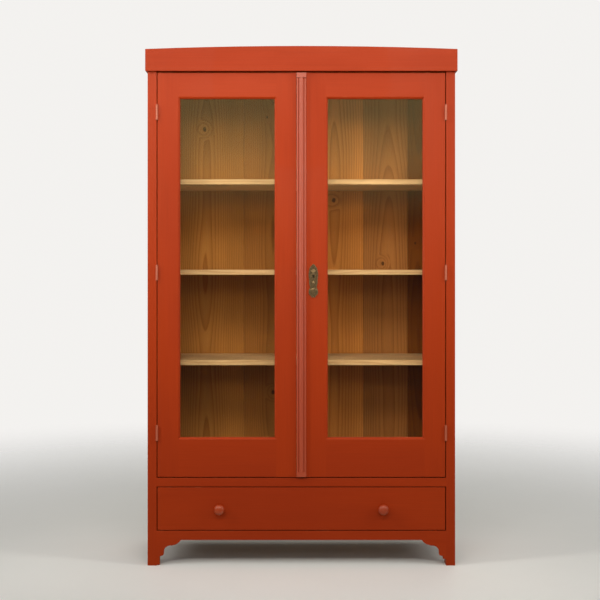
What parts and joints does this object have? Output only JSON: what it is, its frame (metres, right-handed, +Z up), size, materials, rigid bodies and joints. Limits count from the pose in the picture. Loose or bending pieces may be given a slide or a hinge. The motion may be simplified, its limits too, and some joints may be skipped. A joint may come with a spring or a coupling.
{
  "type": "display cabinet",
  "caption": "Painted pine display cabinet: glazed swing doors with a reeded cover strip over shelves, a wide knobbed drawer, scalloped foot brackets and a cap with an arched front.",
  "frame": {"origin": "on the floor under the middle of the cabinet's bounding box", "axes": "+X to the cabinet's right as seen from the front, +Y from front to back, +Z up"},
  "size_m": [1.142, 0.464, 1.903],
  "materials": {
    "red_paint": "satin oil paint on pine, brushed and a little worn",
    "pine": "bare pine, aged and waxed",
    "glass": "clear window glass",
    "aged_brass": "dull aged brass",
    "painted_iron": "iron painted over with the doors",
    "iron": "dark bare iron"
  },
  "bodies": {
    "case": {"front_left_post": "red_paint", "front_right_post": "red_paint", "rear_left_post": "red_paint", "rear_right_post": "red_paint", "left_side_rails": "red_paint", "right_side_rails": "red_paint", "left_side_panels": "red_paint", "right_side_panels": "red_paint", "divider_rail": "red_paint", "apron_rail": "red_paint", "left_foot_bracket": "red_paint", "right_foot_bracket": "red_paint", "cap_front": "red_paint", "cap_left_side": "red_paint", "cap_right_side": "red_paint", "top_board": "pine", "floor_board": "pine", "back_rail": "pine", "shelf_cleats": "pine", "drawer_runners": "pine", "drawer_kickers": "pine", "drawer_stops": "pine", "cap_back": "pine", "cap_blocks": "pine", "back_board_1": "pine", "back_board_2": "pine", "back_board_3": "pine", "back_board_4": "pine", "back_board_5": "pine", "shelf_1": "pine", "shelf_2": "pine", "shelf_3": "pine", "case_hinge_leaves": "painted_iron", "hinge_pins": "painted_iron"},
    "left_door": {"left_door_hinge_stile": "red_paint", "left_door_meeting_stile": "red_paint", "left_door_bottom_rail": "red_paint", "left_door_top_rail": "red_paint", "left_door_glass": "glass", "left_door_beads": "red_paint", "left_door_hinge_leaves": "painted_iron", "left_door_bolt_guides": "iron"},
    "right_door": {"right_door_hinge_stile": "red_paint", "right_door_meeting_stile": "red_paint", "right_door_bottom_rail": "red_paint", "right_door_top_rail": "red_paint", "right_door_glass": "glass", "right_door_beads": "red_paint", "right_door_hinge_leaves": "painted_iron", "cover_strip": "red_paint", "keyhole_plate": "aged_brass", "lock_case": "iron"},
    "drawer": {"drawer_front": "red_paint", "drawer_sides": "pine", "drawer_back": "pine", "drawer_bottom": "pine", "drawer_knobs": "red_paint"},
    "lock_bolt": {"lock_bolt": "iron"},
    "top_bolt": {"top_bolt": "iron"},
    "bottom_bolt": {"bottom_bolt": "iron"}
  },
  "joints": [
    {"name": "left_door_hinge", "type": "hinge", "parent": "case", "child": "left_door", "pos_m": [-0.5295, -0.20255, 1.07425], "axis": [0, 0, -1], "range_deg": [0, 170]},
    {"name": "right_door_hinge", "type": "hinge", "parent": "case", "child": "right_door", "pos_m": [0.5295, -0.20255, 1.07425], "axis": [0, 0, 1], "range_deg": [0, 170]},
    {"name": "drawer_slide", "type": "slide", "parent": "case", "child": "drawer", "axis": [0, -1, 0], "range_m": [0, 0.3]},
    {"name": "lock_bolt_throw", "type": "slide", "parent": "right_door", "child": "lock_bolt", "axis": [-1, 0, 0], "range_m": [0, 0.01]},
    {"name": "top_bolt_throw", "type": "slide", "parent": "left_door", "child": "top_bolt", "axis": [0, 0, 1], "range_m": [0, 0.012]},
    {"name": "bottom_bolt_throw", "type": "slide", "parent": "left_door", "child": "bottom_bolt", "axis": [0, 0, -1], "range_m": [0, 0.012]}
  ]
}
